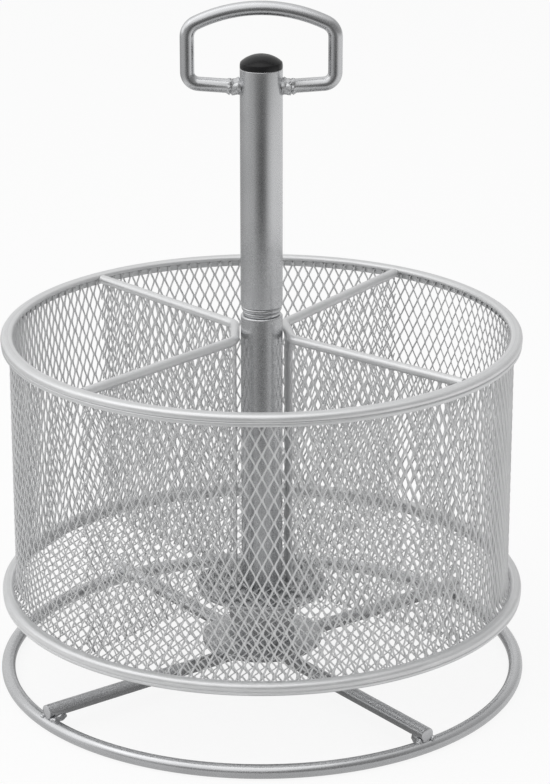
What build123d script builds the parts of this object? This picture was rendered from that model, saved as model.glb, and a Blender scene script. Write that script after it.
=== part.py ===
from build123d import *
from math import atan2, ceil, cos, degrees, hypot, pi, radians, sin, sqrt, tan
import os

# Rotating desk organizer: a round steel-mesh basket with two bent mesh dividers, four compartments,
# a take-apart centre post with a wire handle, turning on a wire base.
# Millimetres, +Z up. The origin is on the desk, on the axis that the basket turns about.

# Wire base
base_wire = 5.0
ring_radius = 94.0  # centreline of the ring that lies on the desk
cross_bearing = 37.0  # degrees from +X to the long cross rod
rod_overhang = 1.3  # rod end beyond the ring's centreline
rod_weld_radius = 3.5

# Pivot on the base
hub_plate_radius = 22.0
hub_plate_thickness = 2.0
hub_tube_radius = 12.0
hub_tube_wall = 1.5
hub_tube_height = 16.6
bush_flange_radius = 15.0
bush_flange_thickness = 2.5
bush_plug_length = 12.0
spigot_radius = 5.0
stud_radius = 3.0
stud_tip = 1.5  # stud standing out of the nut
washer_radius = 6.0
washer_bore_radius = 3.2
washer_thickness = 1.6
nut_across_flats = 10.0
nut_height = 5.0
nut_collar_radius = 4.3
nut_collar_height = 1.5

# Basket
wall_radius = 90.0  # outside of the mesh wall
wall_top = 130.6
mesh_thickness = 0.6
mesh_strand = 1.5
wall_strips = 16  # strips that the wall's sheet is drawn in
strip_cells = 3  # cells across one strip
cell_height = 24.0
floor_plate_radius = 24.0
floor_plate_thickness = 1.5
top_rim_reach = 3.1  # rim standing out of the wall
top_rim_height = 4.2
top_rim_lip = 1.6  # folded edge down the inside of the wall
bottom_rim_reach = 5.2
bottom_rim_width = 4.4
bottom_rim_height = 4.4
rim_sheet = 0.7  # sheet that the rims are rolled from
rim_chamfer = 1.15

# Dividers
divider_bearings = {"left": 180.0, "right": 8.0}
divider_opening = 95.0  # degrees between the two arms of one divider
divider_flat = 19.0  # width of the flat that faces the post
divider_bend_radius = 6.0
divider_drop = 1.1  # middle of the hem below the wall's top edge
hem_diameter = 3.4

# Post and handle
post_radius = 7.5
post_wall = 1.2
lower_post_rise = 5.85  # end of the lower post above the wall's top edge
coupler_plug = 14.0
coupler_collar_radius = 6.7
coupler_collar_height = 1.6
thread_radius = 4.0
thread_length = 16.0
insert_length = 18.0
insert_collar_radius = 7.2
insert_collar_height = 1.9
upper_post_length = 86.0
cap_plug = 8.0
cap_flange = 1.4
cap_dome = 3.6
handle_wire = 5.0
handle_half_width = 25.7  # centreline
handle_drop = 6.6  # foot of the handle below the post's end
handle_rise = 23.6  # crown of the handle above the post's end
handle_foot_lift = 1.3
handle_foot_bend = 4.2
handle_shoulder_bend = 5.5
handle_crown_radius = 52.0
handle_weld_radius = 3.2
handle_weld_length = 4.6

# Clearances
fit_gap = 0.05  # round running fits, plugs and seats on round faces
thrust_gap = 0.05  # floor plate above the bush flange
axial_play = 0.1  # washer above the floor plate
post_gap = 0.4  # divider hem to the post
edge_gap = 0.1  # divider edge to the wall

# Heights that follow from the sizes above
rod_z = 1.5 * base_wire
hub_plate_bottom = 2 * base_wire
hub_plate_top = hub_plate_bottom + hub_plate_thickness
hub_top = hub_plate_top + hub_tube_height
bush_top = hub_top + bush_flange_thickness
plate_bottom = bush_top + thrust_gap
plate_top = plate_bottom + floor_plate_thickness
floor_top = plate_top + mesh_thickness
washer_bottom = plate_top + axial_play
nut_bottom = washer_bottom + washer_thickness
nut_top = nut_bottom + nut_height + nut_collar_height
stud_top = nut_top + stud_tip
lower_post_top = wall_top + lower_post_rise
seam_z = lower_post_top + coupler_collar_height
upper_post_bottom = seam_z + insert_collar_height
upper_post_top = upper_post_bottom + upper_post_length

# Radii that follow
wall_inner = wall_radius - mesh_thickness
rim_inner = wall_inner - rim_sheet
post_bore = post_radius - post_wall
bottom_rim_outer = wall_radius + bottom_rim_reach
bottom_rim_inner = bottom_rim_outer - bottom_rim_width
floor_radius = bottom_rim_outer - 2 * rim_sheet
cells_around = strip_cells * wall_strips
cell_width = 2 * pi * wall_radius / cells_around
wall_flats = 2 * cells_around  # the rolled sheet folds down the middle of every cell
wall_dip = wall_radius * (1 - cos(pi / wall_flats))  # middle of a flat inside the wall's radius
hem_z = wall_top - divider_drop


def ring_solid(inner, outer, bottom, top):
    section = Pos((inner + outer) / 2, (bottom + top) / 2) * Rectangle(outer - inner, top - bottom)
    return revolve(Plane.XZ * section, Axis.Z)


def disc_solid(radius, bottom, top):
    return Pos(0, 0, bottom) * extrude(Circle(radius), top - bottom)


def cell_hole():
    # A mesh cell is a rhombus. Its hole is drawn in by half a strand on each side.
    half_w = cell_width / 2
    half_h = cell_height / 2
    shrink = 1 - mesh_strand / 2 * hypot(half_w, half_h) / (half_w * half_h)
    w = half_w * shrink
    h = half_h * shrink
    return make_face(Polyline((w, 0), (0, h), (-w, 0), (0, -h), close=True))


def cell_rows(bottom, top):
    # Heights of the cell middles that fit between two edges, every second row set half a cell over.
    rows = int((top - bottom - cell_height) / (cell_height / 2)) + 1
    first = (bottom + top) / 2 - (rows - 1) * cell_height / 4
    return [(first + i * cell_height / 2, i % 2) for i in range(rows)]


def edge_cells(bottom, top):
    # Rows of cells that fill a sheet up to its edges: the cells there are cut off.
    cells = []
    for z, shift in cell_rows(bottom - cell_height / 2, top + cell_height / 2):
        open_band = Pos(0, (bottom + top) / 2 - z) * Rectangle(cell_width, top - bottom)
        cells.append((z, shift, cell_hole() & open_band))
    return cells


# Base

def base_ring():
    section = Pos(ring_radius, base_wire / 2) * Circle(base_wire / 2)
    return revolve(Plane.XZ * section, Axis.Z)


def rod_between(start, end):
    rod = extrude(Plane.YZ * Circle(base_wire / 2), end - start)
    return Pos(start, 0, rod_z) * rod


def rod_weld(x):
    return Pos(x, 0, base_wire) * Sphere(rod_weld_radius)


def ring_seat():
    section = Pos(ring_radius, base_wire / 2) * Circle(base_wire / 2 + fit_gap)
    return revolve(Plane.XZ * section, Axis.Z)


def long_cross_rod():
    end = ring_radius + rod_overhang
    rod = rod_between(-end, end) + [rod_weld(ring_radius), rod_weld(-ring_radius)]
    return Rot(0, 0, cross_bearing) * (rod - ring_seat())


def half_cross_rod(side):
    end = ring_radius + rod_overhang
    rod = rod_between(0, end) + rod_weld(ring_radius)
    long_rod = Pos(0, 0, rod_z) * Rot(90, 0, 0) * Cylinder(base_wire / 2 + fit_gap, 4 * base_wire)
    return Rot(0, 0, cross_bearing + 90 * side) * (rod - ring_seat() - long_rod)


def hub_plate():
    return disc_solid(hub_plate_radius, hub_plate_bottom, hub_plate_top)


def hub_tube():
    return ring_solid(hub_tube_radius - hub_tube_wall, hub_tube_radius, hub_plate_top, hub_top)


def pivot_bush():
    plug = disc_solid(hub_tube_radius - hub_tube_wall - fit_gap, hub_top - bush_plug_length, hub_top)
    flange = disc_solid(bush_flange_radius, hub_top, bush_top)
    spigot = disc_solid(spigot_radius, bush_top, washer_bottom)
    bore = disc_solid(stud_radius + fit_gap, hub_plate_top, washer_bottom)
    return plug + flange + spigot - bore


def pivot_stud():
    return disc_solid(stud_radius, hub_plate_top, stud_top)


def pivot_washer():
    return ring_solid(washer_bore_radius, washer_radius, washer_bottom, nut_bottom)


def lock_nut():
    hexagon = RegularPolygon(nut_across_flats / 2, 6, major_radius=False)
    body = Pos(0, 0, nut_bottom) * extrude(hexagon, nut_height)
    collar = disc_solid(nut_collar_radius, nut_bottom + nut_height, nut_top)
    return body + collar - disc_solid(stud_radius + fit_gap, nut_bottom, nut_top)


# Basket

def basket_floor_plate():
    return ring_solid(spigot_radius + fit_gap, floor_plate_radius, plate_bottom, plate_top)


def floor_mesh():
    # One flat holed face: whole over the plate and under the rim, open cells between.
    band = Circle(wall_inner - mesh_strand) - Circle(floor_plate_radius)
    whole = cell_hole()
    across = ceil(wall_radius / cell_width)
    cells = []
    for y, shift in cell_rows(-wall_radius - cell_height, wall_radius + cell_height):
        for i in range(-across, across + 1):
            cut = Pos((i + shift / 2) * cell_width, y) * whole & band
            pieces = cut.faces() if cut else []
            cells += [face for face in pieces if face.area > 0.2 * whole.area]
    sheet = Circle(floor_radius) - Circle(post_radius + fit_gap) - cells
    return Pos(0, 0, plate_top) * extrude(sheet, mesh_thickness)


def strip_wedge():
    # The share of the plan that one strip of the wall takes up.
    reach = 2 * wall_radius
    spread = reach * tan(pi / wall_strips)
    return make_face(Polyline((0, 0), (reach, -spread), (reach, spread), close=True))


def wall_strip():
    # Stands on the floor, with its foot turned out into the bottom rim.
    sheet = RegularPolygon(wall_radius, wall_flats) - RegularPolygon(wall_inner, wall_flats)
    edge = Circle(floor_radius) - RegularPolygon(wall_inner, wall_flats)
    wall = Pos(0, 0, floor_top) * extrude(sheet & strip_wedge(), wall_top - floor_top)
    foot = Pos(0, 0, floor_top) * extrude(edge & strip_wedge(), mesh_thickness)
    low = floor_top + bottom_rim_height / 2
    high = wall_top - top_rim_height
    holes = []
    for z, shift, cell in edge_cells(low, high):
        hole = extrude(Plane.YZ * cell, 4 * mesh_thickness, both=True)
        for i in range(strip_cells + 1 - shift):
            turn = (i - (strip_cells - shift) / 2) * 360 / cells_around
            holes.append(Rot(0, 0, turn) * Pos(wall_radius, 0, z) * hole)
    return wall + foot - holes


def wall_mesh():
    # Strips that meet edge to edge, in the middle of a column of cells.
    strip = wall_strip()
    turned = [Rot(0, 0, i * 360 / wall_strips) * strip for i in range(wall_strips)]
    return Compound([solid for piece in turned for solid in piece.solids()])


def rim_blank(inner, outer, bottom, top):
    block = Pos((inner + outer) / 2, (bottom + top) / 2) * Rectangle(outer - inner, top - bottom)
    return chamfer(block.vertices(), rim_chamfer)


def top_rim():
    # Rolled over the wall's top edge: a bead outside and a short lip inside.
    top = wall_top + rim_sheet
    bottom = top - top_rim_height
    blank = rim_blank(rim_inner, wall_radius + top_rim_reach, bottom, top)
    lip_end = top - top_rim_lip
    lip_width = 2 * (wall_radius - rim_inner)
    under_lip = Pos(rim_inner, (bottom + lip_end) / 2) * Rectangle(lip_width, lip_end - bottom)
    slot_inner = wall_inner - wall_dip - fit_gap
    slot_outer = wall_radius + fit_gap
    slot_middle = Pos((slot_inner + slot_outer) / 2, (bottom + wall_top) / 2)
    slot = slot_middle * Rectangle(slot_outer - slot_inner, wall_top - bottom)
    return revolve(Plane.XZ * (blank - under_lip - slot), Axis.Z)


def bottom_rim():
    # Rolled round the edges of the floor and of the wall's foot, which it holds together.
    bottom = floor_top - bottom_rim_height / 2
    blank = rim_blank(bottom_rim_inner, bottom_rim_outer, bottom, bottom + bottom_rim_height)
    slot_length = floor_radius - bottom_rim_inner + fit_gap
    slot = Pos(bottom_rim_inner + slot_length / 2, floor_top) * Rectangle(slot_length, 2 * mesh_thickness)
    return revolve(Plane.XZ * (blank - slot), Axis.Z)


# Dividers. Each is drawn opening towards +X and then turned to its bearing.

arm_angle = radians(divider_opening / 2)
flat_x = post_radius + post_gap + hem_diameter / 2


def divider_line(offset):
    # The sheet's line in plan, set over towards the post: an arm, the flat beside the post, an arm.
    x = flat_x - offset
    y = divider_flat / 2 + offset * (1 - sin(arm_angle)) / cos(arm_angle)
    end_x = x + wall_radius * cos(arm_angle)
    end_y = y + wall_radius * sin(arm_angle)
    corners = [(end_x, -end_y), (x, -y), (x, y), (end_x, end_y)]
    return FilletPolyline(*corners, radius=divider_bend_radius + offset)


def divider_band(thickness):
    near = divider_line(thickness / 2)
    far = divider_line(-thickness / 2)
    ends = [Line(near @ 0, far @ 0), Line(near @ 1, far @ 1)]
    return make_face([*near.edges(), *far.edges(), *ends])


def arm_columns():
    # Places along an arm, half a cell apart, between its bend and the wall.
    start = divider_bend_radius * tan((pi / 2 - arm_angle) / 2) + mesh_strand
    lean = flat_x * cos(arm_angle) + divider_flat / 2 * sin(arm_angle)
    end = sqrt(lean**2 + wall_inner**2 - hypot(flat_x, divider_flat / 2)**2) - lean - mesh_strand
    count = int((end - start - cell_width) / (cell_width / 2)) + 1
    first = (start + end) / 2 - (count - 1) * cell_width / 4
    return [(first + i * cell_width / 2, i % 2) for i in range(count)]


def divider_mesh(bearing):
    sheet = Pos(0, 0, floor_top) * extrude(divider_band(mesh_thickness), hem_z - floor_top)
    sheet = sheet & disc_solid(wall_inner - wall_dip - edge_gap, floor_top, hem_z)
    holes = []
    for z, shift, cell in edge_cells(floor_top + mesh_strand, hem_z - hem_diameter / 2):
        hole = extrude(Plane.XZ * cell, 2 * mesh_thickness, both=True)
        if shift == 0:
            holes.append(Pos(flat_x, 0, z) * Rot(0, 0, 90) * hole)
        for along, column_shift in arm_columns():
            if shift == column_shift:
                for side in (-1, 1):
                    corner = Pos(flat_x, side * divider_flat / 2, z)
                    holes.append(corner * Rot(0, 0, side * divider_opening / 2) * Pos(along, 0, 0) * hole)
    return Rot(0, 0, bearing) * (sheet - holes)


def divider_hem(bearing):
    # Rolled edge along the top of the sheet, which sits in its slot.
    line = Pos(0, 0, hem_z) * divider_line(0)
    roll = sweep(Plane(line @ 0, z_dir=line % 0) * Circle(hem_diameter / 2), path=line)
    slot = Pos(0, 0, hem_z - hem_diameter) * extrude(divider_band(mesh_thickness + 2 * fit_gap), hem_diameter)
    reach = disc_solid(rim_inner - edge_gap, hem_z - hem_diameter, hem_z + hem_diameter)
    return Rot(0, 0, bearing) * ((roll - slot) & reach)


# Post and handle

def lower_post():
    return ring_solid(post_bore, post_radius, plate_top, lower_post_top)


def post_coupler():
    plug = disc_solid(post_bore - fit_gap, lower_post_top - coupler_plug, lower_post_top)
    collar = disc_solid(coupler_collar_radius, lower_post_top, seam_z)
    thread = disc_solid(thread_radius, seam_z, seam_z + thread_length)
    return plug + collar + thread


def thread_insert():
    collar = disc_solid(insert_collar_radius, seam_z, upper_post_bottom)
    sleeve = disc_solid(post_bore - fit_gap, upper_post_bottom, seam_z + insert_length)
    return collar + sleeve - disc_solid(thread_radius + fit_gap, seam_z, seam_z + insert_length)


def upper_post():
    return ring_solid(post_bore, post_radius, upper_post_bottom, upper_post_top)


def post_cap():
    plug = disc_solid(post_bore - fit_gap, upper_post_top - cap_plug, upper_post_top)
    rim = disc_solid(post_radius, upper_post_top, upper_post_top + cap_flange)
    ball_radius = (post_radius**2 + cap_dome**2) / (2 * cap_dome)
    top = upper_post_top + cap_flange + cap_dome
    ball = Pos(0, 0, top - ball_radius) * Sphere(ball_radius)
    dome = ball & disc_solid(post_radius, upper_post_top + cap_flange, top)
    return plug + rim + dome


def handle_path():
    foot_z = upper_post_top - handle_drop
    crown_z = upper_post_top + handle_rise - handle_wire / 2
    centre_z = crown_z - handle_crown_radius
    bend_x = handle_half_width - handle_shoulder_bend
    bend_reach = handle_crown_radius - handle_shoulder_bend
    bend_z = centre_z + sqrt(bend_reach**2 - bend_x**2)
    turn = atan2(bend_z - centre_z, bend_x)
    shoulder_x = handle_crown_radius * cos(turn)
    shoulder_z = centre_z + handle_crown_radius * sin(turn)
    middle_x = bend_x + handle_shoulder_bend * cos(turn / 2)
    middle_z = bend_z + handle_shoulder_bend * sin(turn / 2)
    edges = []
    for side in (1, -1):
        foot = (side * post_bore, foot_z)
        corner = (side * handle_half_width, foot_z + handle_foot_lift)
        bend = (side * handle_half_width, bend_z)
        shoulder = (side * shoulder_x, shoulder_z)
        edges += FilletPolyline(foot, corner, bend, radius=handle_foot_bend).edges()
        edges += ThreePointArc(bend, (side * middle_x, middle_z), shoulder).edges()
    edges += ThreePointArc((shoulder_x, shoulder_z), (0, crown_z), (-shoulder_x, shoulder_z)).edges()
    return Plane.XZ * Wire(edges)


def handle():
    # One bent wire, butt-welded to both sides of the post.
    path = handle_path()
    wire = sweep(Plane(path @ 0, z_dir=path % 0) * Circle(handle_wire / 2), path=path)
    slope = degrees(atan2(handle_foot_lift, handle_half_width - post_bore))
    standing = (Align.CENTER, Align.CENTER, Align.MIN)
    weld = Cone(handle_weld_radius, handle_wire / 2, post_wall + handle_weld_length, align=standing)
    foot_z = upper_post_top - handle_drop
    right = Pos(post_bore, 0, foot_z) * Rot(0, 90 - slope, 0) * weld
    left = Pos(-post_bore, 0, foot_z) * Rot(0, slope - 90, 0) * weld
    tube = disc_solid(post_radius + fit_gap, upper_post_bottom, upper_post_top)
    return wire + right + left - tube


nodes = {
    "base_ring": base_ring(),
    "long_cross_rod": long_cross_rod(),
    "left_half_rod": half_cross_rod(1),
    "right_half_rod": half_cross_rod(-1),
    "hub_plate": hub_plate(),
    "hub_tube": hub_tube(),
    "pivot_bush": pivot_bush(),
    "pivot_stud": pivot_stud(),
    "pivot_washer": pivot_washer(),
    "lock_nut": lock_nut(),
    "basket_floor_plate": basket_floor_plate(),
    "floor_mesh": floor_mesh(),
    "wall_mesh": wall_mesh(),
    "top_rim": top_rim(),
    "bottom_rim": bottom_rim(),
    "lower_post": lower_post(),
    "post_coupler": post_coupler(),
    "thread_insert": thread_insert(),
    "upper_post": upper_post(),
    "post_cap": post_cap(),
    "handle": handle(),
}
for side, bearing in divider_bearings.items():
    nodes[f"{side}_divider_mesh"] = divider_mesh(bearing)
    nodes[f"{side}_divider_hem"] = divider_hem(bearing)

os.makedirs("parts", exist_ok=True)
for name, shape in nodes.items():
    export_step(shape, f"parts/{name}.step")
    print(name, round(shape.volume, 1))
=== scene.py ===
import math

import bmesh
import bpy
from mathutils import Matrix, Vector, noise


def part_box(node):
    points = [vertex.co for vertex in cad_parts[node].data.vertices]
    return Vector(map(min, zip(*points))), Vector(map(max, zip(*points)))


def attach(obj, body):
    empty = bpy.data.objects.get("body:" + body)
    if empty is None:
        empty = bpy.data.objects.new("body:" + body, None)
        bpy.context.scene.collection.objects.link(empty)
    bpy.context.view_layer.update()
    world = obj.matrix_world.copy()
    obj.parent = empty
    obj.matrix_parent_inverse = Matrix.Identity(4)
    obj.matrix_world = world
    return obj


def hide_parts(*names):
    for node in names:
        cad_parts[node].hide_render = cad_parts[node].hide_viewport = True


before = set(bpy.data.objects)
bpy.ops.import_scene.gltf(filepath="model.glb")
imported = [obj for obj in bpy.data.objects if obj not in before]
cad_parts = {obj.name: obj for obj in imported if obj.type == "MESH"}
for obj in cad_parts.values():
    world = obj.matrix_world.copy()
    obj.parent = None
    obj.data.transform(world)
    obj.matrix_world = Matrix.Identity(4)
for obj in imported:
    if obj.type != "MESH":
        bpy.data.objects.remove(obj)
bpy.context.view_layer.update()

mm = 0.001
fullTurn = 2 * math.pi
origin = Vector((0, 0, 0))
xAxis = Vector((1, 0, 0))
yAxis = Vector((0, 1, 0))
zAxis = Vector((0, 0, 1))


# Shader maths: a wrapped socket, so that sums and products of sockets add Math nodes

class Wire:
    def __init__(self, tree, out=None):
        self.tree = tree
        self.out = out

    def node(self, kind, settings=None, inputs=None, output=0):
        made = self.tree.nodes.new("ShaderNode" + kind)
        for key, value in (settings or {}).items():
            if key == "stops":
                self.setStops(made.color_ramp, value)
            else:
                setattr(made, key, value)
        for key, value in (inputs or {}).items():
            if isinstance(value, Wire):
                self.tree.links.new(value.out, made.inputs[key])
            else:
                made.inputs[key].default_value = value
        return Wire(self.tree, made.outputs[output] if made.outputs else None)

    def other(self, output):
        return Wire(self.tree, self.out.node.outputs[output])

    def setStops(self, ramp, stops):
        while len(ramp.elements) < len(stops):
            ramp.elements.new(1.0)
        for element, (place, level) in zip(ramp.elements, stops):
            element.position = place
            element.color = (level, level, level, 1)

    def maths(self, operation, first, second):
        return self.node("Math", {"operation": operation}, {0: first, 1: second})

    def __add__(self, other):
        return self.maths("ADD", self, other)

    def __mul__(self, other):
        return self.maths("MULTIPLY", self, other)

    def __sub__(self, other):
        return self.maths("SUBTRACT", self, other)

    def __rsub__(self, other):
        return self.maths("SUBTRACT", other, self)

    __radd__ = __add__
    __rmul__ = __mul__


def newMaterial(name):
    material = bpy.data.materials.new(name)
    material.use_nodes = True
    material.node_tree.nodes.clear()
    return material, Wire(material.node_tree)


def mixColour(tree, factor, first, second):
    return tree.node("Mix", {"data_type": "RGBA"}, {0: factor, 6: first, 7: second}, output=2)


# Silver paint: satin, with fine flake, faint clouds and a slight orange peel

silverLook = {
    "dark": (0.5, 0.505, 0.515, 1),
    "light": (0.66, 0.665, 0.675, 1),
    "metallic": 0.94,
    "roughness": 0.2,
    "flakeScale": 5200,      # flakes about 0.2 mm apart
    "flakeShare": 0.2,       # of the tone from dark to light
    "flakeRough": 0.04,
    "cloudScale": 90,
    "cloudShare": 0.8,
    "cloudRough": 0.1,
    "peelScale": 1500,
    "peelStrength": 0.08,
    "peelHeight": 0.02 * mm,
}
# The basket's sheet metal is paler and more matt than the wire and the post, its cut strands most of all
sheetLook = {**silverLook, "dark": (0.62, 0.625, 0.63, 1), "light": (0.8, 0.805, 0.81, 1), "metallic": 0.6,
             "roughness": 0.3}
strandLook = {**sheetLook, "metallic": 0.32, "roughness": 0.34}
# The rims have faint lines along the strip that they are rolled from
rimLook = {**sheetLook, "dark": (0.5, 0.505, 0.51, 1), "light": (0.92, 0.925, 0.93, 1), "flakeShare": 0.1,
           "cloudShare": 0.15, "streakShare": 0.75, "streakScale": 1200, "streakWaver": 2}


def streaks(tree, place, cloud, look):
    # Lines round the post's axis that waver along their length
    flat = tree.node("VectorMath", {"operation": "MULTIPLY"}, {0: place, 1: (1, 1, 0)})
    radius = tree.node("VectorMath", {"operation": "LENGTH"}, {0: flat}, "Value")
    height = tree.node("SeparateXYZ", {}, {"Vector": place}, "Z")
    scale, waver = look["streakScale"], look["streakWaver"]
    across = tree.node("CombineXYZ", {}, {"X": radius * scale, "Y": height * scale, "Z": cloud * waver})
    return tree.node("TexNoise", {}, {"Vector": across, "Scale": 1.0, "Detail": 2.0})


def silverPaint(name, look):
    material, tree = newMaterial(name)
    place = tree.node("TexCoord", output="Object")
    flake = tree.node("TexVoronoi", {"feature": "F1"}, {
        "Vector": place, "Scale": look["flakeScale"]}, "Color")
    flakeTone = tree.node("SeparateColor", {}, {"Color": flake}, "Red")
    cloud = tree.node("TexNoise", {}, {"Vector": place, "Scale": look["cloudScale"], "Detail": 4.0})
    peel = tree.node("TexNoise", {}, {"Vector": place, "Scale": look["peelScale"], "Detail": 2.0})
    tone = flakeTone * look["flakeShare"] + cloud * look["cloudShare"]
    if "streakShare" in look:
        tone = tone + streaks(tree, place, cloud, look) * look["streakShare"]
    colour = mixColour(tree, tone, look["dark"], look["light"])
    rough = cloud * look["cloudRough"] + flakeTone * look["flakeRough"] + look["roughness"]
    bump = tree.node("Bump", {}, {
        "Height": peel, "Strength": look["peelStrength"], "Distance": look["peelHeight"]})
    shader = tree.node("BsdfPrincipled", {}, {
        "Base Color": colour, "Roughness": rough, "Metallic": look["metallic"], "Normal": bump})
    tree.node("OutputMaterial", {}, {"Surface": shader})
    return material


# Black cap plastic: glossy, with a faint moulded grain

capLook = {
    "dark": (0.006, 0.006, 0.0065, 1),
    "light": (0.016, 0.016, 0.017, 1),
    "roughness": 0.26,
    "smearScale": 220,
    "smearRough": 0.12,
    "specular": 0.25,
    "grainScale": 1400,
    "grainStrength": 0.35,
    "grainHeight": 0.02 * mm,
}


def capPlastic():
    material, tree = newMaterial("capPlastic")
    place = tree.node("TexCoord", output="Object")
    grain = tree.node("TexNoise", {}, {"Vector": place, "Scale": capLook["grainScale"], "Detail": 3.0})
    smear = tree.node("TexNoise", {}, {"Vector": place, "Scale": capLook["smearScale"], "Detail": 2.0})
    colour = mixColour(tree, smear, capLook["dark"], capLook["light"])
    rough = smear * capLook["smearRough"] + capLook["roughness"]
    bump = tree.node("Bump", {}, {
        "Height": grain, "Strength": capLook["grainStrength"], "Distance": capLook["grainHeight"]})
    shader = tree.node("BsdfPrincipled", {}, {
        "Base Color": colour, "Roughness": rough, "Specular IOR Level": capLook["specular"], "Normal": bump})
    tree.node("OutputMaterial", {}, {"Surface": shader})
    return material


# Bush: natural nylon, a little waxy

bushLook = {
    "dark": (0.68, 0.66, 0.6, 1),
    "light": (0.82, 0.81, 0.77, 1),
    "roughness": 0.42,
    "cloudScale": 160,
    "cloudRough": 0.15,
}


def bushPlastic():
    material, tree = newMaterial("bushPlastic")
    place = tree.node("TexCoord", output="Object")
    cloud = tree.node("TexNoise", {}, {"Vector": place, "Scale": bushLook["cloudScale"], "Detail": 3.0})
    colour = mixColour(tree, cloud, bushLook["dark"], bushLook["light"])
    rough = cloud * bushLook["cloudRough"] + bushLook["roughness"]
    shader = tree.node("BsdfPrincipled", {}, {"Base Color": colour, "Roughness": rough})
    tree.node("OutputMaterial", {}, {"Surface": shader})
    return material


# Plated steel: turned, so its fine lines run round the post's axis

platedLook = {
    "dark": (0.44, 0.445, 0.455, 1),
    "light": (0.7, 0.705, 0.715, 1),
    "roughness": 0.12,
    "lineScale": (60, 60, 4200),
    "lineRough": 0.14,
    "lineStrength": 0.3,
    "lineHeight": 0.01 * mm,
}


def platedSteel():
    material, tree = newMaterial("platedSteel")
    place = tree.node("TexCoord", output="Object")
    squeezed = tree.node("Mapping", {}, {"Vector": place, "Scale": platedLook["lineScale"]})
    lines = tree.node("TexNoise", {}, {"Vector": squeezed, "Scale": 1.0, "Detail": 3.0})
    colour = mixColour(tree, lines, platedLook["dark"], platedLook["light"])
    rough = lines * platedLook["lineRough"] + platedLook["roughness"]
    bump = tree.node("Bump", {}, {
        "Height": lines, "Strength": platedLook["lineStrength"], "Distance": platedLook["lineHeight"]})
    shader = tree.node("BsdfPrincipled", {}, {
        "Base Color": colour, "Roughness": rough, "Metallic": 1.0, "Normal": bump})
    tree.node("OutputMaterial", {}, {"Surface": shader})
    return material


silver = silverPaint("silverPaint", silverLook)
sheetSilver = silverPaint("sheetPaint", sheetLook)
strandSilver = silverPaint("strandPaint", strandLook)
rimSilver = silverPaint("rimPaint", rimLook)
blackCap = capPlastic()
nylon = bushPlastic()
plated = platedSteel()
print("materials made")


# Small modelling helpers

mirrorGap = 0.01 * mm        # points this near the mirror's plane are joined


def piece(name, bm, body, nodes, material, sharpAngle=40):
    bmesh.ops.remove_doubles(bm, verts=bm.verts, dist=0.002 * mm)
    bmesh.ops.recalc_face_normals(bm, faces=bm.faces)
    mesh = bpy.data.meshes.new(name)
    bm.to_mesh(mesh)
    bm.free()
    mesh.shade_smooth()
    mesh.set_sharp_from_angle(angle=math.radians(sharpAngle))
    mesh.materials.append(material)
    made = bpy.data.objects.new(name, mesh)
    bpy.context.scene.collection.objects.link(made)
    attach(made, body)
    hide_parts(*nodes)
    print("piece", name, len(mesh.polygons), "faces")
    return made


def allGeom(bm):
    return bm.verts[:] + bm.edges[:] + bm.faces[:]


def vertsOf(geom):
    return [g for g in geom if isinstance(g, bmesh.types.BMVert)]


def edgesOf(geom):
    return [g for g in geom if isinstance(g, bmesh.types.BMEdge)]


def loopVerts(loop):
    return list({vert for edge in loop for vert in edge.verts})


def swing(bm, angle, axis="Z"):
    # Turns all of a piece about an axis through the origin
    bmesh.ops.rotate(bm, cent=origin, matrix=Matrix.Rotation(angle, 3, axis), verts=bm.verts)


def turned(profile, roundings, steps=160, segments=4):
    # A closed outline of (radius, height) points, some corners rounded, spun about the post's axis
    bm = bmesh.new()
    corners = [bm.verts.new((r, 0, z)) for r, z in profile]
    bm.faces.new(corners)
    for radius in sorted(set(roundings.values()), reverse=True):
        picked = [corners[i] for i in roundings if roundings[i] == radius]
        bmesh.ops.bevel(bm, geom=picked, offset=radius, offset_type="OFFSET", segments=segments,
                        profile=0.5, affect="VERTICES", material=-1)
    bmesh.ops.delete(bm, geom=bm.faces[:], context="FACES_KEEP_BOUNDARY")
    onAxis = [e for e in bm.edges if max(v.co.x for v in e.verts) < 0.001 * mm]
    bmesh.ops.delete(bm, geom=onAxis, context="EDGES")
    bmesh.ops.spin(bm, geom=allGeom(bm), cent=origin, axis=zAxis, angle=fullTurn, steps=steps,
                   use_merge=True)
    return bm


def wireLoop(bm, radius, at, along, segments=16):
    # A ring of wire ready to be drawn along a path
    facing = Vector(along).to_track_quat("Z", "Y").to_matrix().to_4x4()
    loop = bmesh.ops.create_circle(bm, cap_ends=False, segments=segments, radius=radius,
                                   matrix=Matrix.Translation(at) @ facing)
    return list({edge for vert in loop["verts"] for edge in vert.link_edges})


def drawStraight(bm, loop, reach, swell=1.0):
    # Draws the wire on by one straight length, swollen or thinned at its end
    made = bmesh.ops.extrude_edge_only(bm, edges=loop)["geom"]
    rim = vertsOf(made)
    bmesh.ops.translate(bm, vec=reach, verts=rim)
    middle = sum((vert.co for vert in rim), Vector()) / len(rim)
    bmesh.ops.scale(bm, vec=(swell, swell, swell), space=Matrix.Translation(-middle), verts=rim)
    return [edge for edge in edgesOf(made) if edge.is_boundary]


def drawBend(bm, loop, centre, axis, angle, steps):
    made = bmesh.ops.spin(bm, geom=loopVerts(loop) + loop, cent=centre, axis=axis, angle=angle, steps=steps)
    return edgesOf(made["geom_last"])


def capLoop(bm, loop, inset=0.0, lift=origin):
    # Closes a loop, with a small rounded edge if an inset is given
    face = bmesh.ops.contextual_create(bm, geom=loop)["faces"][0]
    if inset:
        bmesh.ops.inset_region(bm, faces=[face], thickness=inset, use_even_offset=True)
        bmesh.ops.translate(bm, vec=lift, verts=face.verts)


def lumpy(bm, verts, depth, grain, seed):
    # Pushes a weld's points in and out, the same way on each run
    bm.normal_update()
    for vert in verts:
        swell = noise.noise(vert.co * grain + Vector((seed, 0, 0)))
        vert.co += vert.normal * swell * depth


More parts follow.
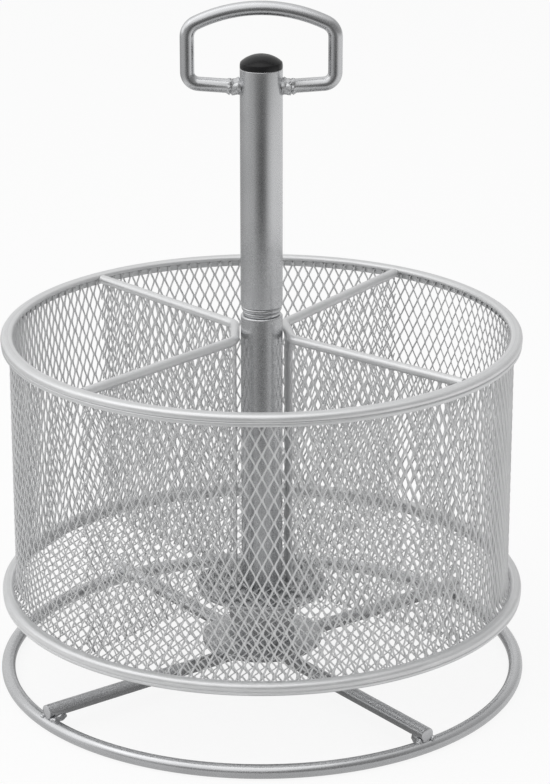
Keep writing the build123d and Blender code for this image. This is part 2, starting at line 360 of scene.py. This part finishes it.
# Expanded mesh: one joint with its four half strands, repeated, then rolled, folded or laid flat

meshLook = {
    "cellsAround": 139,      # diamonds round the wall
    "cellHeight": 8.0 * mm,
    "strand": 0.5 * mm,      # measured level
    "bond": 0.8 * mm,        # height of the joint where strands meet
    "twist": 0.36 * mm,      # a strand's right edge stands out by this much more than its left one
    "sheet": 0.4 * mm,
    "topBond": 6.45 * mm,    # first whole joint below the sheet's top edge
    "flare": 2.4 * mm,       # the wall's foot turns out into the bottom rim
    "flareHeight": 4.5 * mm,
    "rimReach": 3.4 * mm,    # from the middle of the wall's sheet to the outside of the top rim
    "flatWeld": 0.03 * mm,   # strand ends this near are joined, on a flat sheet and on the round wall
    "roundWeld": 0.05 * mm,
    "floorCuts": 60,         # straight cuts round the floor's edge
    "floorInset": 0.5 * mm,
    "postLap": 1.0 * mm,     # how far the floor runs in under the post
}
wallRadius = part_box("top_rim")[1].x - meshLook["rimReach"]
wallLow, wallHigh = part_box("wall_mesh")
cellWidth = fullTurn * wallRadius / meshLook["cellsAround"]
cellHeight = meshLook["cellHeight"]


def meshJoint(bm):
    # x runs along the sheet, z up, and the outside faces -y
    strand, bond, twist = meshLook["strand"], meshLook["bond"], meshLook["twist"]
    made = bmesh.ops.create_grid(bm, x_segments=2, y_segments=1, size=1.0)["verts"]
    stand = Matrix(((strand, 0, 0, 0), (-twist, 0, 0, 0), (0, bond / 2, 0, 0), (0, 0, 0, 1)))
    bmesh.ops.transform(bm, matrix=stand, verts=made)
    run = cellWidth / 4 - strand / 2
    rise = cellHeight / 4 - bond / 2
    ends = [e for e in bm.edges if abs(e.verts[0].co.z - e.verts[1].co.z) < 0.01 * mm]
    for end in ends:
        middle = (end.verts[0].co + end.verts[1].co) / 2
        side = math.copysign(1, middle.x)
        reach = Vector((side * run, side * twist / 2, math.copysign(rise, middle.z)))
        half = bmesh.ops.extrude_edge_only(bm, edges=[end])["geom"]
        bmesh.ops.translate(bm, vec=reach, verts=vertsOf(half))


def repeat(bm, geom, count, step=origin, angle=0.0):
    # Copies set off by a step or turned about the post's axis
    bmesh.ops.spin(bm, geom=geom, cent=origin, axis=zAxis, dvec=step, angle=angle * (count - 1),
                   steps=count - 1, use_duplicate=True)


def offsetCopy(bm, step, turn=0.0):
    # The joints of the rows between, half a cell over and half a cell up
    copied = vertsOf(bmesh.ops.duplicate(bm, geom=allGeom(bm))["geom"])
    bmesh.ops.rotate(bm, cent=origin, matrix=Matrix.Rotation(turn, 3, "Z"), verts=copied)
    bmesh.ops.translate(bm, vec=step, verts=copied)


def trim(bm, at, facing):
    bmesh.ops.bisect_plane(bm, geom=allGeom(bm), dist=0.0001 * mm, plane_co=at, plane_no=facing,
                           clear_outer=True)


def flatSheet(width, low, high, topJoint):
    # A welded flat sheet about x = 0, cut to size, with its upper rows of joints set from topJoint
    bm = bmesh.new()
    meshJoint(bm)
    columns = math.ceil(width / cellWidth) + 2
    rows = math.ceil((high - low) / cellHeight) + 2
    repeat(bm, allGeom(bm), rows, step=zAxis * cellHeight)
    offsetCopy(bm, Vector((cellWidth / 2, 0, cellHeight / 2)))
    repeat(bm, allGeom(bm), columns, step=xAxis * cellWidth)
    rise = topJoint - (rows - 2) * cellHeight
    bmesh.ops.translate(bm, vec=(-(columns - 0.5) * cellWidth / 2, 0, rise), verts=bm.verts)
    bmesh.ops.remove_doubles(bm, verts=bm.verts, dist=meshLook["flatWeld"])
    trim(bm, zAxis * high, zAxis)
    trim(bm, zAxis * low, -zAxis)
    trim(bm, xAxis * width / 2, xAxis)
    trim(bm, -xAxis * width / 2, -xAxis)
    return bm


def meshPiece(name, bm, nodes):
    made = piece(name, bm, "basket", nodes, strandSilver, sharpAngle=30)
    shell = made.modifiers.new("sheetThickness", "SOLIDIFY")
    shell.thickness = meshLook["sheet"]
    shell.offset = 0.0
    return made


def wallMesh():
    bm = bmesh.new()
    meshJoint(bm)
    rows = math.ceil((wallHigh.z - wallLow.z) / cellHeight) + 1
    bmesh.ops.translate(bm, vec=(0, -wallRadius, wallHigh.z - meshLook["topBond"]), verts=bm.verts)
    bmesh.ops.translate(bm, vec=-zAxis * cellHeight * (rows - 1), verts=bm.verts)
    repeat(bm, allGeom(bm), rows + 1, step=zAxis * cellHeight)
    turn = fullTurn / meshLook["cellsAround"]
    offsetCopy(bm, zAxis * cellHeight / 2, turn / 2)
    repeat(bm, allGeom(bm), meshLook["cellsAround"], angle=turn)
    bmesh.ops.remove_doubles(bm, verts=bm.verts, dist=meshLook["roundWeld"])
    trim(bm, zAxis * wallHigh.z, zAxis)
    trim(bm, zAxis * wallLow.z, -zAxis)
    flareFrom = wallLow.z + meshLook["flareHeight"]
    for vert in bm.verts:
        part = max(0, flareFrom - vert.co.z) / meshLook["flareHeight"]
        outward = Vector((vert.co.x, vert.co.y, 0)).normalized()
        vert.co += outward * meshLook["flare"] * part ** 2
    return meshPiece("wallMesh", bm, ["wall_mesh"])


def floorMesh():
    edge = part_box("floor_mesh")[1]
    bm = flatSheet(2 * edge.x, -edge.x, edge.x, cellHeight * math.floor(edge.x / cellHeight))
    swing(bm, -math.pi / 2, "X")
    bmesh.ops.translate(bm, vec=zAxis * (edge.z + meshLook["twist"] / 2), verts=bm.verts)
    cuts = meshLook["floorCuts"]
    for i in range(cuts):
        outward = Vector((math.cos(fullTurn * i / cuts), math.sin(fullTurn * i / cuts), 0))
        trim(bm, outward * (edge.x - meshLook["floorInset"]), outward)
    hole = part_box("lower_post")[1].x - meshLook["postLap"]
    hidden = [v for v in bm.verts if math.hypot(v.co.x, v.co.y) < hole]
    bmesh.ops.delete(bm, geom=hidden, context="VERTS")
    return meshPiece("floorMesh", bm, ["floor_mesh"])


# Dividers: a flat beside the post, two bends and two arms to the wall

dividerLook = {
    "opening": math.radians(95),     # between the two arms
    "flat": 19.0 * mm,
    "bend": 6.0 * mm,
    "flatFromAxis": 9.6 * mm,
    "hem": 3.4 * mm,
    "drop": 1.1 * mm,                # middle of the hem below the wall's top edge
    "sheetShort": 0.6 * mm,          # the sheet and the hem end this far inside the wall's middle
    "hemShort": 1.3 * mm,
    "bearings": {"left": math.radians(180), "right": math.radians(8)},
}
bendTurn = math.pi / 2 - dividerLook["opening"] / 2
bendTangent = dividerLook["bend"] * math.tan(bendTurn / 2)
bendLength = dividerLook["bend"] * bendTurn
flatHalf = dividerLook["flat"] / 2 - bendTangent
hemHeight = wallHigh.z - dividerLook["drop"]


def armLength(reach):
    # Straight part of an arm that ends at this distance from the axis
    corner = Vector((dividerLook["flatFromAxis"], dividerLook["flat"] / 2))
    along = Vector((math.sin(bendTurn), math.cos(bendTurn)))
    lean = corner.dot(along)
    return math.sqrt(lean ** 2 + reach ** 2 - corner.length_squared) - lean - bendTangent


def foldPoint(along, depth):
    # A point of the flat sheet laid on the divider's line, drawn opening towards +x
    bend = dividerLook["bend"]
    side = math.copysign(1, along)
    past = abs(along) - flatHalf
    turn = min(max(past / bend, 0), bendTurn)
    beyond = max(past - bendLength, 0)
    x = dividerLook["flatFromAxis"] + bend * (1 - math.cos(turn)) + beyond * math.sin(bendTurn)
    y = min(abs(along), flatHalf) + bend * math.sin(turn) + beyond * math.cos(bendTurn)
    return Vector((x + depth * math.cos(turn), side * (y - depth * math.sin(turn)), 0))


def dividerMesh(side, bearing):
    low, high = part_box(side + "_divider_mesh")
    reach = flatHalf + bendLength + armLength(wallRadius - dividerLook["sheetShort"])
    bm = flatSheet(2 * reach, low.z, high.z, high.z - meshLook["topBond"])
    for vert in bm.verts:
        vert.co = foldPoint(vert.co.x, vert.co.y) + zAxis * vert.co.z
    swing(bm, bearing)
    return meshPiece(side + "DividerMesh", bm, [side + "_divider_mesh"])


def dividerHem(side, bearing):
    # Half of the rolled edge is drawn from the middle of the flat to the wall, then mirrored
    x, bend = dividerLook["flatFromAxis"], dividerLook["bend"]
    bm = bmesh.new()
    loop = wireLoop(bm, dividerLook["hem"] / 2, (x, 0, hemHeight), yAxis)
    loop = drawStraight(bm, loop, yAxis * flatHalf)
    loop = drawBend(bm, loop, (x + bend, flatHalf, hemHeight), zAxis, -bendTurn, 8)
    along = Vector((math.sin(bendTurn), math.cos(bendTurn), 0))
    loop = drawStraight(bm, loop, along * armLength(wallRadius - dividerLook["hemShort"]))
    capLoop(bm, loop)
    bmesh.ops.mirror(bm, geom=allGeom(bm), axis="Y", merge_dist=mirrorGap)
    swing(bm, bearing)
    return piece(side + "DividerHem", bm, "basket", [side + "_divider_hem"], sheetSilver)


wallMesh()
floorMesh()
for side, bearing in dividerLook["bearings"].items():
    dividerMesh(side, bearing)
    dividerHem(side, bearing)
print("mesh pieces made")


# Rims, rolled from strip: a bead above a fold line, and a lip below it

topRimShape = {
    "inside": 1.0 * mm,      # inner edge inside the middle of the wall's sheet
    "lap": 0.5 * mm,         # back of the lip outside it
    "tuck": 1.6 * mm,        # from the top down to where the strip is turned in
    "fold": 1.65 * mm,       # fold line above the lower edge
    "groove": 0.5 * mm,      # how deep the fold line is pressed in
    "bead": 0.12 * mm,       # from the fold line up to the bead
    "lip": 0.2 * mm,         # from the fold line down to the lip
    "lipTop": 0.12 * mm,     # how far the lip stands back, at its top and its foot
    "lipFoot": 0.2 * mm,
    "roundings": {0: 0.2 * mm, 1: 1.1 * mm, 2: 1.5 * mm, 3: 0.6 * mm, 5: 0.3 * mm, 6: 0.45 * mm, 7: 0.3 * mm},
}
bottomRimShape = {
    "width": 4.4 * mm,
    "fold": 1.5 * mm,
    "groove": 0.35 * mm,
    "bead": 0.1 * mm,
    "lip": 0.15 * mm,
    "lipTop": 0.1 * mm,
    "lipFoot": 0.15 * mm,
    "roundings": {0: 0.6 * mm, 1: 1.3 * mm, 2: 1.6 * mm, 3: 0.4 * mm, 5: 0.2 * mm, 6: 0.9 * mm},
}
ringSteps = 224


def outerEdge(shape, outer, top, bottom):
    # The side of a rim that is seen, from the top down over the fold line
    foldLine = bottom + shape["fold"]
    return [(outer, top), (outer, foldLine + shape["bead"]), (outer - shape["groove"], foldLine),
            (outer - shape["lipTop"], foldLine - shape["lip"]), (outer - shape["lipFoot"], bottom)]


def rim(name, node, profile, shape):
    bm = turned(profile, shape["roundings"], ringSteps)
    return piece(name, bm, "basket", [node], rimSilver)


def topRim():
    low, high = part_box("top_rim")
    inner, lap = wallRadius - topRimShape["inside"], wallRadius + topRimShape["lap"]
    tuck = high.z - topRimShape["tuck"]
    edge = outerEdge(topRimShape, high.x, high.z, low.z)
    profile = [(inner, tuck), (inner, high.z), *edge, (lap, low.z), (lap, tuck)]
    return rim("topRim", "top_rim", profile, topRimShape)


def bottomRim():
    low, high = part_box("bottom_rim")
    inner = high.x - bottomRimShape["width"]
    profile = [(inner, low.z), (inner, high.z), *outerEdge(bottomRimShape, high.x, high.z, low.z)]
    return rim("bottomRim", "bottom_rim", profile, bottomRimShape)


topRim()
bottomRim()
print("rims made")


# Post: two tubes, the collars in their seam and the cap

postShape = {
    "tubeWall": 1.2 * mm,
    "plugInset": 1.25 * mm,  # a tube's wall and the plug's clearance
    "thread": 4.0 * mm,      # radius of the thread and of its hole
    "threadHole": 4.05 * mm,
    "collar": 1.6 * mm,      # height of the coupler's collar
    "capEdge": 1.9 * mm,     # height of the cap's upright edge
    "capShoulder": 2.4 * mm, # the dome's shoulder, in from that edge and down from the top
    "capDome": 0.7 * mm,
}
postSteps = 96


def tube(name, node, roundings):
    low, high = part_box(node)
    bore = high.x - postShape["tubeWall"]
    profile = [(bore, low.z), (bore, high.z), (high.x, high.z), (high.x, low.z)]
    return piece(name, turned(profile, roundings, postSteps), "basket", [node], silver)


def postCoupler():
    low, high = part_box("post_coupler")
    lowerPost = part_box("lower_post")[1]
    seam, plug = lowerPost.z, lowerPost.x - postShape["plugInset"]
    collar, thread = high.x, postShape["thread"]
    collarTop = seam + postShape["collar"]
    profile = [(0, low.z), (plug, low.z), (plug, seam), (collar, seam), (collar, collarTop),
               (thread, collarTop), (thread, high.z), (0, high.z)]
    bm = turned(profile, {4: 0.6 * mm, 3: 0.6 * mm, 1: 0.5 * mm, 6: 0.5 * mm}, postSteps, 5)
    return piece("postCoupler", bm, "basket", ["post_coupler"], plated)


def threadInsert():
    low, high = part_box("thread_insert")
    upperLow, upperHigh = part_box("upper_post")
    shoulder, sleeve = upperLow.z, upperHigh.x - postShape["plugInset"]
    collar, bore = high.x, postShape["threadHole"]
    profile = [(bore, low.z), (collar, low.z), (collar, shoulder), (sleeve, shoulder), (sleeve, high.z),
               (bore, high.z)]
    bm = turned(profile, {1: 0.85 * mm, 2: 0.85 * mm, 4: 0.4 * mm}, postSteps, 5)
    return piece("threadInsert", bm, "basket", ["thread_insert"], plated)


def postCap():
    low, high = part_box("post_cap")
    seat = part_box("upper_post")[1].z
    flange, plug = high.x, high.x - postShape["plugInset"]
    profile = [(0, low.z), (plug, low.z), (plug, seat), (flange, seat), (flange, seat + postShape["capEdge"]),
               (flange - postShape["capShoulder"], high.z - postShape["capDome"]), (0, high.z)]
    bm = turned(profile, {3: 0.2 * mm, 4: 1.2 * mm, 5: 3.0 * mm, 1: 0.6 * mm}, postSteps, 8)
    return piece("postCap", bm, "basket", ["post_cap"], blackCap, sharpAngle=50)


tube("lowerPost", "lower_post", {1: 0.25 * mm, 2: 0.6 * mm})
tube("upperPost", "upper_post", {2: 0.3 * mm, 3: 0.35 * mm, 0: 0.2 * mm})
postCoupler()
threadInsert()
postCap()
print("post made")


# Handle: one bent wire with a weld bead where each end meets the post

handleLook = {
    "wire": 5.0 * mm,
    "drop": 6.6 * mm,        # foot below the post's end
    "lift": 1.3 * mm,        # outer corner above the foot
    "footBend": 4.2 * mm,
    "shoulderBend": 5.5 * mm,
    "crown": 52.0 * mm,
    "bead": 4.6 * mm,
    "beadSwells": (1.07, 1.04, 0.96, 1.03, 1.04, 0.98, 1.04, 1.03),
    "beadSink": 0.5 * mm,    # the wire's end runs this far into the post
    "lump": 1.1 * mm,
}
weldGrain = 800              # lumps of a weld per metre


def handle():
    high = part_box("handle")[1]
    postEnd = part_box("upper_post")[1]
    wire, crown, shoulder = handleLook["wire"] / 2, handleLook["crown"], handleLook["shoulderBend"]
    halfWidth = high.x - wire
    crownTop = high.z - wire
    crownCentre = Vector((0, 0, crownTop - crown))
    bendX = halfWidth - shoulder
    bendZ = crownCentre.z + math.sqrt((crown - shoulder) ** 2 - bendX ** 2)
    turn = math.atan2(bendZ - crownCentre.z, bendX)
    slope = math.atan2(handleLook["lift"], halfWidth - postEnd.x)
    footTurn = math.pi / 2 - slope
    tangent = handleLook["footBend"] * math.tan(footTurn / 2)
    inward = Vector((-math.cos(slope), 0, -math.sin(slope)))
    bm = bmesh.new()
    loop = wireLoop(bm, wire, (0, 0, crownTop), xAxis, 28)
    loop = drawBend(bm, loop, crownCentre, yAxis, math.pi / 2 - turn, 16)
    loop = drawBend(bm, loop, (bendX, 0, bendZ), yAxis, turn, 14)
    cornerZ = postEnd.z - handleLook["drop"] + handleLook["lift"]
    loop = drawStraight(bm, loop, -zAxis * (bendZ - cornerZ - tangent))
    footCentre = (halfWidth - handleLook["footBend"], 0, cornerZ + tangent)
    loop = drawBend(bm, loop, footCentre, yAxis, footTurn, 14)
    footRun = (halfWidth - postEnd.x) / math.cos(slope) - tangent
    loop = drawStraight(bm, loop, inward * (footRun - handleLook["bead"]))
    bead = []
    swells = handleLook["beadSwells"]
    for swell in swells:
        loop = drawStraight(bm, loop, inward * handleLook["bead"] / len(swells), swell)
        bead += loopVerts(loop)
    loop = drawStraight(bm, loop, inward * handleLook["beadSink"])
    lumpy(bm, bead, handleLook["lump"], weldGrain, 3.0)
    capLoop(bm, loop)
    bmesh.ops.mirror(bm, geom=allGeom(bm), axis="X", merge_dist=mirrorGap)
    return piece("handle", bm, "basket", ["handle"], silver, sharpAngle=45)


handle()
print("handle made")


# Base: ring, crossing rods with their welds, and the pivot's carrier

baseLook = {
    "wire": 5.0 * mm,
    "bearing": math.radians(37),     # long rod from +x
    "overhang": 1.3 * mm,
    "cutInset": 0.2 * mm,            # rounded edge of a rod's cut end, inwards and along the rod
    "cutBulge": 0.15 * mm,
    "butt": 1.25 * mm,               # a half rod starts this far from the axis, inside the long rod
    "lump": 0.7 * mm,
    # Weld lumps at a rod's end in mm, as place from the ring's middle and half size: one under the rod
    # and two beside it
    "welds": [((-2.6, 0, 4.7), (3.8, 2.3, 2.2)), ((-0.3, 2.7, 4.7), (1.9, 1.3, 1.3)),
              ((-0.3, -2.7, 4.7), (1.9, 1.3, 1.3))],
}
baseWire = baseLook["wire"] / 2
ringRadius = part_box("base_ring")[1].x - baseWire
rodEnd = ringRadius + baseLook["overhang"]


def baseRing():
    bm = bmesh.new()
    loop = wireLoop(bm, baseWire, (ringRadius, 0, baseWire), yAxis, 24)
    bmesh.ops.spin(bm, geom=loopVerts(loop) + loop, cent=origin, axis=zAxis, angle=fullTurn, steps=ringSteps,
                   use_merge=True)
    return piece("baseRing", bm, "base", ["base_ring"], silver)


def rodWelds(bm, x, seed):
    side = math.copysign(1, x)
    for place, size in baseLook["welds"]:
        at = Vector((x + side * place[0] * mm, place[1] * mm, place[2] * mm))
        made = bmesh.ops.create_icosphere(bm, subdivisions=4, radius=mm,
                                          matrix=Matrix.Translation(at) @ Matrix.Diagonal((*size, 1)))
        lumpy(bm, made["verts"], baseLook["lump"], weldGrain, seed)


def crossRod(name, node, start, bearing, seed):
    # A rod along +x with sheared ends, turned to its bearing
    inset, bulge = baseLook["cutInset"], xAxis * baseLook["cutBulge"]
    bm = bmesh.new()
    nearEnd = wireLoop(bm, baseWire, (start, 0, 3 * baseWire), xAxis, 24)
    farEnd = drawStraight(bm, nearEnd, xAxis * (rodEnd - start) - bulge)
    capLoop(bm, farEnd, inset, bulge)
    capLoop(bm, nearEnd, inset, -bulge)
    rodWelds(bm, ringRadius, seed)
    if start < -ringRadius:
        rodWelds(bm, -ringRadius, seed + 1)
    swing(bm, bearing)
    return piece(name, bm, "base", [node], silver, sharpAngle=50)


pivotShape = {
    "hubWall": 1.5 * mm,
    "plugInset": 1.55 * mm,          # the hub tube's wall and the bush's clearance
    "spigot": 5.0 * mm,              # radius of the bush's upper end and of the floor plate's hole round it
    "plateHole": 5.05 * mm,
    "studHole": 3.05 * mm,
    "flangeGap": 0.05 * mm,
}


def roundPlate(name, node, body, bore=0.0, edge=0.4 * mm):
    low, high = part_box(node)
    profile = [(bore, low.z), (high.x, low.z), (high.x, high.z), (bore, high.z)]
    bm = turned(profile, {1: edge, 2: edge}, 128, 3)
    return piece(name, bm, body, [node], silver)


def pivotBush():
    low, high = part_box("pivot_bush")
    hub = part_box("hub_tube")[1]
    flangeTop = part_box("basket_floor_plate")[0].z - pivotShape["flangeGap"]
    plug, spigot, bore = hub.x - pivotShape["plugInset"], pivotShape["spigot"], pivotShape["studHole"]
    profile = [(bore, low.z), (plug, low.z), (plug, hub.z), (high.x, hub.z), (high.x, flangeTop),
               (spigot, flangeTop), (spigot, high.z), (bore, high.z)]
    bm = turned(profile, {3: 0.3 * mm, 4: 0.5 * mm, 1: 0.6 * mm}, 96, 4)
    return piece("pivotBush", bm, "base", ["pivot_bush"], nylon)


baseRing()
rodBearing = baseLook["bearing"]
crossRod("longCrossRod", "long_cross_rod", -rodEnd, rodBearing, 1.0)
crossRod("leftHalfRod", "left_half_rod", baseLook["butt"], rodBearing + math.pi / 2, 5.0)
crossRod("rightHalfRod", "right_half_rod", baseLook["butt"], rodBearing - math.pi / 2, 9.0)
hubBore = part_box("hub_tube")[1].x - pivotShape["hubWall"]
roundPlate("hubPlate", "hub_plate", "base")
roundPlate("hubTube", "hub_tube", "base", hubBore, 0.3 * mm)
roundPlate("basketFloorPlate", "basket_floor_plate", "basket", pivotShape["plateHole"], 0.3 * mm)
pivotBush()
for node in ("pivot_stud", "pivot_washer", "lock_nut"):
    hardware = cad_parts[node]
    hardware.data.materials.clear()
    hardware.data.materials.append(plated)
print("base made")


# Studio: a pale floor that glows for metal with painted reflections and a painted shadow under the base, soft
# lamps and the photograph's camera

studioLook = {
    "cameraAt": (0, -0.9859, 0.4535),
    "pitch": math.radians(19.37),
    "yaw": 14 / 2901,                # the post's axis lies 14 pixels left of the frame's middle
    "focalPixels": 2901,
    "frameHeight": 784,
    "floorHalf": 4.0,
    "floorDrop": 0.05 * mm,          # keeps the floor clear of the ring's underside
    "floorGlow": 0.88,               # share of the floor's white that shadows don't reach
    "worldLevel": 0.56,
    "rightShade": 0.5,               # how much dimmer metal sees the room to the right and how much a painted shade dims the near floor's reflection before and behind
    "frontShade": 0.25,              # and the near floor before and behind
    "nearReach": 0.5,                # nearStops run from the post to this distance
    "farFrom": 0.3,                  # the near floor gives way to the far one between these distances
    "farTo": 0.38,
    "lampAim": Vector((0, 0, 0.12)),
    # Square lamps: place, side in metres and watts
    "lamps": {
        "keyLamp": ((-0.45, -0.75, 1.5), 2.4, 11.5),
        "topLamp": ((-0.1, -0.2, 1.4), 2.6, 4),
        "leftLamp": ((-1.2, 0.1, 0.8), 1.1, 2),
    },
}
# Painted reflections, the levels that the floor glows with for metal alone: of the far floor, from the left
# rear by the left, front and right to the right rear, dark at the front, of the near floor, from a painted
# shadow under the base outwards; and what metal sees of the room, from its sides to its dark front
farStops = [(0.0, 0.5), (0.12, 0.42), (0.275, 0.55), (0.38, 0.52), (0.44, 0.22), (0.5, 0.06), (0.555, 0.18),
            (0.60, 0.6), (0.65, 0.88), (0.70, 0.95), (1.0, 0.8)]
nearStops = [(0.0, 0.24), (0.17, 0.26), (0.188, 0.7), (0.26, 0.85), (1.0, 0.85)]
roomStops = [(0.0, 0.85), (0.3, 0.6), (0.5, 0.45), (0.7, 0.35), (0.88, 0.26), (1.0, 0.22)]


def floorMaterial():
    material, tree = newMaterial("sweepPaper")
    place = tree.node("TexCoord", output="Object")
    isCamera = tree.node("LightPath", output="Is Camera Ray")
    isGlossy = isCamera.other("Is Glossy Ray")
    x = tree.node("SeparateXYZ", {}, {"Vector": place}, "X")
    y = x.other("Y")
    aroundPost = tree.maths("ARCTAN2", x, 0 - y) * (1 / fullTurn) + 0.5
    distance = tree.node("VectorMath", {"operation": "LENGTH"}, {0: place}, "Value")
    sideways = tree.maths("DIVIDE", tree.maths("ABSOLUTE", x, 0), distance)
    # Painted shade: the near floor's reflection is made darker before and behind than at the sides
    paintedFrontShade = sideways * studioLook["frontShade"] + (1 - studioLook["frontShade"])
    # Painted shadow under the base, rising to the pale near floor, seen by metal alone
    paintedNearFloor = tree.node("ValToRGB", {"stops": nearStops}, {"Fac": distance * (1 / studioLook["nearReach"])})
    far = tree.node("ValToRGB", {"stops": farStops}, {"Fac": aroundPost})
    farther = tree.node("MapRange", {}, {
        "Value": distance, "From Min": studioLook["farFrom"], "From Max": studioLook["farTo"]})
    around = mixColour(tree, farther, paintedNearFloor * paintedFrontShade, far)
    grain = tree.node("TexNoise", {}, {"Vector": place, "Scale": 900.0, "Detail": 2.0})
    pale = mixColour(tree, grain, (0.9, 0.9, 0.9, 1), (0.94, 0.94, 0.94, 1))
    paper = tree.node("BsdfPrincipled", {}, {"Base Color": pale, "Roughness": 0.9})
    white = tree.node("Emission", {}, {"Color": (1, 1, 1, 1), "Strength": 1.0})
    # Painted reflection: glossy rays see this drawn glow in place of the paper and its white
    mirrored = tree.node("Emission", {}, {"Color": around, "Strength": 1.0})
    seen = tree.node("MixShader", {}, {0: isCamera * studioLook["floorGlow"], 1: paper, 2: white})
    both = tree.node("MixShader", {}, {0: isGlossy, 1: seen, 2: mirrored})
    tree.node("OutputMaterial", {}, {"Surface": both})
    return material


def studioFloor():
    bm = bmesh.new()
    bmesh.ops.create_grid(bm, x_segments=1, y_segments=1, size=studioLook["floorHalf"])
    mesh = bpy.data.meshes.new("studioFloor")
    bm.to_mesh(mesh)
    bm.free()
    mesh.materials.append(floorMaterial())
    floor = bpy.data.objects.new("studioFloor", mesh)
    floor.location.z = -studioLook["floorDrop"]
    bpy.context.scene.collection.objects.link(floor)


def studioWorld():
    world = bpy.data.worlds.new("studioWorld")
    bpy.context.scene.world = world
    world.use_nodes = True
    world.node_tree.nodes.clear()
    tree = Wire(world.node_tree)
    isCamera = tree.node("LightPath", output="Is Camera Ray")
    isGlossy = isCamera.other("Is Glossy Ray")
    facing = tree.node("TexCoord", output="Generated")
    x = tree.node("SeparateXYZ", {}, {"Vector": facing}, "X")
    room = tree.node("ValToRGB", {"stops": roomStops}, {"Fac": 0 - x.other("Y")})
    rightShade = 1 - tree.maths("MAXIMUM", x, 0) * studioLook["rightShade"]
    plain = (1 - isCamera - isGlossy) * studioLook["worldLevel"]
    level = isCamera + isGlossy * room * rightShade + plain
    sky = tree.node("Background", {}, {"Strength": level, "Color": (1, 1, 1, 1)})
    tree.node("OutputWorld", {}, {"Surface": sky})


def softLamp(name, at, side, watts):
    light = bpy.data.lights.new(name, "AREA")
    light.shape = "SQUARE"
    light.size = side
    light.energy = watts
    lamp = bpy.data.objects.new(name, light)
    lamp.location = at
    lamp.rotation_euler = (studioLook["lampAim"] - Vector(at)).to_track_quat("-Z", "Y").to_euler()
    bpy.context.scene.collection.objects.link(lamp)


def photoCamera():
    lens = bpy.data.cameras.new("photoCamera")
    lens.sensor_width = 36.0
    lens.lens = studioLook["focalPixels"] / studioLook["frameHeight"] * lens.sensor_width
    camera = bpy.data.objects.new("photoCamera", lens)
    camera.location = studioLook["cameraAt"]
    camera.rotation_euler = (math.pi / 2 - studioLook["pitch"], 0, -studioLook["yaw"])
    bpy.context.scene.collection.objects.link(camera)
    bpy.context.scene.camera = camera


studioFloor()
studioWorld()
for name, (at, side, watts) in studioLook["lamps"].items():
    softLamp(name, at, side, watts)
photoCamera()
bpy.context.scene.view_settings.view_transform = "Standard"
print("studio set")
